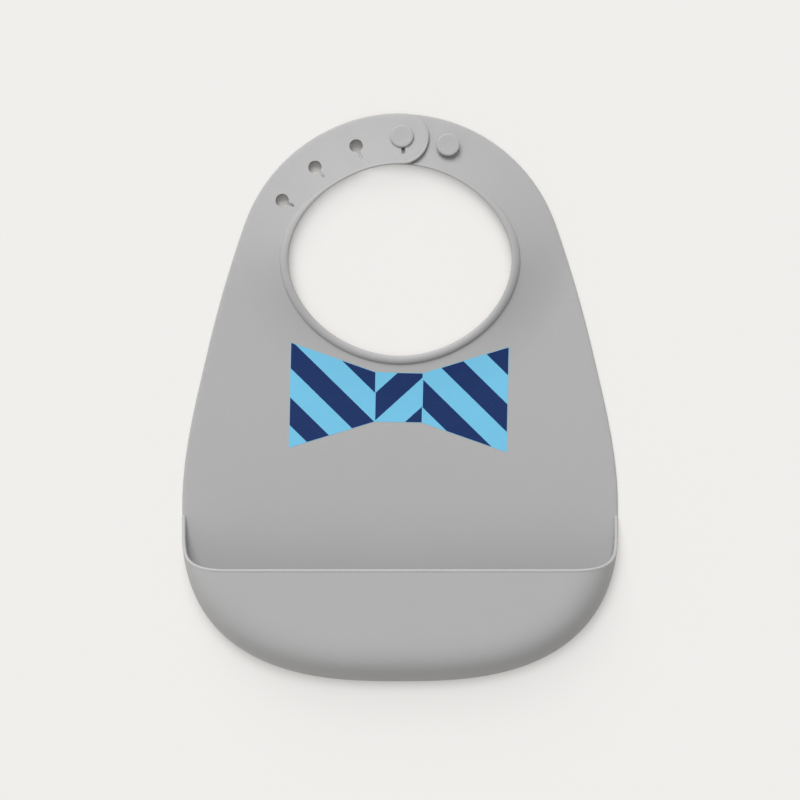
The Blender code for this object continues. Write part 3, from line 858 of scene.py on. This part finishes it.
def stud_mesh(place):
    """A stud turned about its own middle line, standing square on the curled strap."""
    low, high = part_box("stud_1")
    head = (high.x - low.x) / 2
    stem = HOLE_RADIUS - STEM_CLEARANCE
    under = 2 * sheet + gap
    top = under + HEAD_HEIGHT
    profile = [(0.0, sheet / 2), (stem + STEM_FLARE, sheet / 2)]
    profile += [(stem + 0.8 * STEM_FLARE, sheet), (stem, sheet + STEM_FLARE), (stem, under)]
    for i in range(HEAD_EDGE_STEPS + 1):
        turn = -math.pi / 2 + math.pi * i / HEAD_EDGE_STEPS
        middle = (under + top) / 2
        tall = (top - under) / 2
        profile.append((head - HEAD_EDGE * (1 - math.cos(turn)), middle + tall * math.sin(turn)))
    profile += [(head * share, top - HEAD_DISH * (1 - share)) for share in (0.75, 0.5, 0.25, 0)]
    bm = bmesh.new()
    verts = [bm.verts.new((x, 0, z)) for x, z in profile]
    line = [bm.edges.new(pair) for pair in zip(verts, verts[1:])]
    bmesh.ops.spin(
        bm, geom=verts + line, cent=(0, 0, 0), axis=(0, 0, 1), angle=2 * math.pi,
        steps=STUD_SIDES, use_merge=True,
    )
    x, y, step = place.x, place.y, SLOPE_STEP
    slope_x = (lift(x + step, y) - lift(x - step, y)) / (2 * step)
    slope_y = (lift(x, y + step) - lift(x, y - step)) / (2 * step)
    upright = Vector((0, 0, 1))
    leaning = Vector((-slope_x * HEAD_LEAN, -slope_y * HEAD_LEAN, 1))
    lean = upright.rotation_difference(leaning)
    pivot = Matrix.Translation((0, 0, sheet))
    stand = Matrix.Translation((x, y, lift(x, y)))
    matrix = stand @ pivot @ lean.to_matrix().to_4x4() @ pivot.inverted()
    bmesh.ops.transform(bm, matrix=matrix, verts=bm.verts)
    return bm


for index, angle in enumerate(stud_angles):
    place = collar_point(angle + BUTTON_TURN, mid_radius + HOLE_OUTS[0])
    stud = add_piece(f"stud_{index + 1}_head_and_stem", [stud_mesh(place)], silicone, 50)
    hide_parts(f"stud_{index + 1}")
    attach(stud, "right_strap")


# ---------------------------------------------------------------- pocket
# The scoop pocket is a thin wall moulded up from the panel's edge. Its front lies flat, its
# sides and bottom are rounded, and a rolled rim runs round the open mouth.

POCKET_REACH = 0.025
POCKET_POWER = 3.0
WALL = 0.0018
RIM_FALL = 0.42             # fall of the mouth along Y for each unit that it stands out
RIM_STEP = 0.0133           # further fall in the first few millimetres
RIM_STEP_HEIGHT = 0.005
RIM_RADIUS = 0.00098
SIDE_ROWS = 22
FRONT_ROWS = 14
ROUND_STEPS = 150
OUTER_FOOT = ((0.0007, 0.0001), (0.0002, 0.0004), (0.0, 0.0010))    # inset and height
INNER_FOOT = ((WALL, 0.0003), (WALL, 0.0007), (WALL, 0.0012))
RIM_FIRST = 2               # row of the wall where the rolled rim starts
RIM_SPACING = 4             # of the wall's columns, between the rim's points along the front
RIM_RISE = 0.0001
HALVINGS = 40

pocket_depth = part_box("pocket_front")[1].z


def mouth_line(z):
    """Where along Y the mouth passes one height above the table."""
    rise = max(z - sheet, 0)
    return mouth_y - RIM_FALL * rise - RIM_STEP * (1 - math.exp(-rise / RIM_STEP_HEIGHT))


def mouth_angle(inset, y):
    """Angle at which the inset outline passes one height, on the right-hand side."""
    low, high = 0.0, math.pi / 2
    for _ in range(HALVINGS):
        middle = (low + high) / 2
        if inset_point(middle, inset).y > y:
            low = middle
        else:
            high = middle
    return high


def pocket_row(inset, z):
    """One level line of the pocket's side, from the mouth's right end round to its left end."""
    start = mouth_angle(inset, mouth_line(z))
    angles = [start + (math.pi - 2 * start) * i / ROUND_STEPS for i in range(ROUND_STEPS + 1)]
    return [Vector((*inset_point(angle, inset), z)) for angle in angles]


def side_section(share, depth):
    """Inset and height of the rounded side at a depth inside the wall; share 1 is the front."""
    turn = math.pi / 2 * share
    reach = POCKET_REACH - depth
    rise = pocket_depth - sheet - depth
    inset = depth + reach * (1 - math.cos(turn) ** (2 / POCKET_POWER))
    return inset, sheet + rise * math.sin(turn) ** (2 / POCKET_POWER)


def pocket_skin(depth, foot):
    """Rows of one side of the wall: its foot, the rounded side, and the flat front."""
    rows = [pocket_row(inset, z) for inset, z in foot]
    for k in range(SIDE_ROWS + 1):
        rows.append(pocket_row(*side_section(k / SIDE_ROWS, depth)))
    last = rows[-1]
    lip = [last[0].lerp(last[-1], i / ROUND_STEPS) for i in range(ROUND_STEPS + 1)]
    for k in range(1, FRONT_ROWS + 1):
        share = k / FRONT_ROWS
        rows.append([here.lerp(there, share) for here, there in zip(last, lip)])
    return rows


def pocket_shell():
    """The closed wall, with an outer and an inner skin, and the line that its rim follows."""
    outer = pocket_skin(0.0, OUTER_FOOT)
    inner = pocket_skin(WALL, INNER_FOOT)
    side_rows = len(OUTER_FOOT) + SIDE_ROWS
    bm = bmesh.new()
    skins = [[[bm.verts.new(at) for at in row] for row in skin] for skin in (outer, inner)]
    for skin in skins:
        for near, far in zip(skin, skin[1:]):
            for i in range(ROUND_STEPS):
                bm.faces.new((near[i], near[i + 1], far[i + 1], far[i]))
    outside, inside = skins
    for i in range(ROUND_STEPS):
        bm.faces.new((outside[0][i], outside[0][i + 1], inside[0][i + 1], inside[0][i]))
        bm.faces.new((outside[-1][i], outside[-1][i + 1], inside[-1][i + 1], inside[-1][i]))
    for end in (0, -1):
        for k in range(side_rows):
            here, there = outside[k][end], outside[k + 1][end]
            bm.faces.new((here, there, inside[k + 1][end], inside[k][end]))
    side = range(RIM_FIRST, side_rows + 1)
    rim = [(outer[k][0] + inner[k][0]) / 2 for k in side]
    for i in range(RIM_SPACING, ROUND_STEPS - RIM_SPACING + 1, RIM_SPACING):
        rim.append((outer[-1][i] + inner[-1][i]) / 2)
    rim += [(outer[k][-1] + inner[k][-1]) / 2 for k in reversed(side)]
    return bm, rim


shell, rim_path = pocket_shell()
rim_path = [at + Vector((0, 0, RIM_RISE)) for at in rim_path]
rolled_rim = swept_rim("rolled_rim", rim_path, [RIM_RADIUS] * len(rim_path), 1.0)
pocket = add_piece("scoop_pocket", [shell, rolled_rim], silicone, 50)
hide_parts("pocket_wall", "pocket_front", "pocket_lip")
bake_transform(pocket)


# ---------------------------------------------------------------- printed bow tie
# A striped bow tie is printed on the chest in two inks: a light blue ground, and navy stripes
# laid over it. The print is thin and matt, and the sheet's grain shows through it.

LIGHT_BLUE = (0.17, 0.53, 0.77)
NAVY = (0.003, 0.024, 0.118)
BOW_CENTRE = (-0.0006, -0.0005)
BOW_TILT = math.radians(-1.2)
WING_REACH = 0.0577
WING_HALF_HEIGHT = 0.0279
KNOT_HALF_WIDTH = 0.0125
KNOT_HALF_HEIGHT = 0.0131
STRIPE_WIDTH = 0.0107
STRIPE_PERIOD = 0.0219
STRIPE_SLANT = math.radians(46.8)
LEFT_STRIPE_START = -0.0509
RIGHT_STRIPE_START = 0.0050
KNOT_STRIPE_START = -0.0101
STRIPE_INSET = 0.0002       # light edge left round the dark stripes
INK_FILM = 0.00007
CORNER_ROUND = 0.00015
BAR_LENGTH = 0.3            # longer than the bow is wide, since the bars are cut to shape
BAR_HEIGHT = 0.01


def ink_finish(name, colour, fade):
    """Thin printed ink: the silicone's grain shows, and its cover is a little uneven."""
    made = Finish(name, Metallic=0.0, IOR=1.45, Specular_IOR_Level=0.32)
    grain = made.noise(GRAIN, 3.0, 0.6)
    cover = made.noise(0.006, 3.0, 0.6, 2.3)
    pin = made.noise(0.0007, 1.0, 0.4, 5.1).above(0.70, 0.78)
    laid = made.tint(cover, shade(colour, 1 - fade), shade(colour, 1 + fade))
    made.wear(
        Base_Color=made.tint(pin * 0.06, laid, shade(SILICONE, 1.0)),
        Roughness=0.52 + 0.10 * cover + 0.05 * grain,
        Normal=made.bump(grain, 0.00004, 0.5),
    )
    return made.material


def wing(side, inset):
    """Outline of one half of the bow, anticlockwise for the right-hand side."""
    lean = (WING_HALF_HEIGHT - KNOT_HALF_HEIGHT) / (WING_REACH - KNOT_HALF_WIDTH)
    near = KNOT_HALF_WIDTH + inset
    far = WING_REACH - inset
    low = KNOT_HALF_HEIGHT + lean * inset - inset
    high = WING_HALF_HEIGHT - lean * inset - inset
    points = [(near, -low), (far, -high), (far, high), (near, low)]
    return [(side * x, y) for x, y in points]


def knot(inset):
    """Outline of the bow's middle."""
    wide = KNOT_HALF_WIDTH - inset
    tall = KNOT_HALF_HEIGHT - inset
    return [(-wide, -tall), (wide, -tall), (wide, tall), (-wide, tall)]


def prism(points, low, high):
    """A flat outline in XY, given a thickness along Z."""
    bm = bmesh.new()
    face = bm.faces.new([bm.verts.new((x, y, low)) for x, y in points])
    grown = bmesh.ops.extrude_face_region(bm, geom=[face])
    moved = [item for item in grown["geom"] if isinstance(item, bmesh.types.BMVert)]
    bmesh.ops.translate(bm, verts=moved, vec=(0, 0, high - low))
    bmesh.ops.recalc_face_normals(bm, faces=bm.faces)
    return bm


def settle_print(bm):
    """Round the corners of a printed shape, put it on the chest and let it follow the sheet."""
    upright = [
        edge for edge in bm.edges
        if (edge.verts[0].co.xy - edge.verts[1].co.xy).length < MERGE
    ]
    bmesh.ops.bevel(
        bm, geom=upright, offset=CORNER_ROUND, segments=4, profile=0.5, affect="EDGES"
    )
    turn = Matrix.Rotation(BOW_TILT, 4, "Z")
    bmesh.ops.transform(
        bm, matrix=Matrix.Translation((*BOW_CENTRE, sheet)) @ turn, verts=bm.verts
    )
    cross_hatch(bm, CELL)
    curl(bm)
    return bm


def stripes(name, outline, lean, start, count):
    """Dark stripes: slanting bars set out along a line and kept only inside the outline."""
    rule = Growth(
        name, Count=count, Start=start + STRIPE_WIDTH / 2, Period=STRIPE_PERIOD,
        Width=STRIPE_WIDTH, Slant=lean * STRIPE_SLANT,
    )
    line = rule.node(
        "GeometryNodeMeshLine", {"mode": "OFFSET"},
        {
            "Count": rule.given("Count"),
            "Start Location": rule.vector(x=rule.given("Start")),
            "Offset": rule.vector(x=rule.given("Period")),
        },
    )
    bar = rule.node(
        "GeometryNodeMeshCube", None,
        {"Size": rule.vector(rule.given("Width"), BAR_LENGTH, BAR_HEIGHT)},
    )
    bars = rule.node("GeometryNodeInstanceOnPoints", None, {"Points": line, "Instance": bar})
    loose = rule.node("GeometryNodeRealizeInstances", None, {"Geometry": bars})
    turned = rule.node(
        "GeometryNodeTransform", None,
        {"Geometry": loose, "Rotation": rule.vector(z=rule.given("Slant"))},
    )
    clip = rule.tree.nodes.new("GeometryNodeMeshBoolean")
    clip.operation = "INTERSECT"
    clip.solver = "EXACT"
    rule.feed(clip.inputs["Mesh 2"], rule.given())
    rule.feed(clip.inputs["Mesh 2"], turned)
    source = bpy.data.meshes.new(name)
    film = prism(outline, -INK_FILM, 2 * INK_FILM)
    film.to_mesh(source)
    film.free()
    return settle_print(rule.grown(source, Signal(rule, clip.outputs["Mesh"])))


light_ink = ink_finish("light_blue_ink", LIGHT_BLUE, 0.03)
dark_ink = ink_finish("navy_ink", NAVY, 0.10)

right_half = wing(1, 0.0)
bow_outline = right_half + [(-x, y) for x, y in reversed(right_half)]
bow_ground = add_piece(
    "bow_ground", [settle_print(prism(bow_outline, -INK_FILM, INK_FILM))], light_ink
)
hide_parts("bow_tie_base")
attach(bow_ground, "chest")

stripe_sets = [
    ("left_stripes", wing(-1, STRIPE_INSET), 1, LEFT_STRIPE_START, 3, "stripe_left_"),
    ("right_stripes", wing(1, STRIPE_INSET), 1, RIGHT_STRIPE_START, 3, "stripe_right_"),
    ("knot_stripes", knot(STRIPE_INSET), -1, KNOT_STRIPE_START, 2, "stripe_knot_"),
]
for name, outline, lean, start, count, nodes in stripe_sets:
    printed = add_piece(name, [stripes(name, outline, lean, start, count)], dark_ink)
    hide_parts(*[nodes + str(k + 1) for k in range(count)])
    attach(printed, "chest")
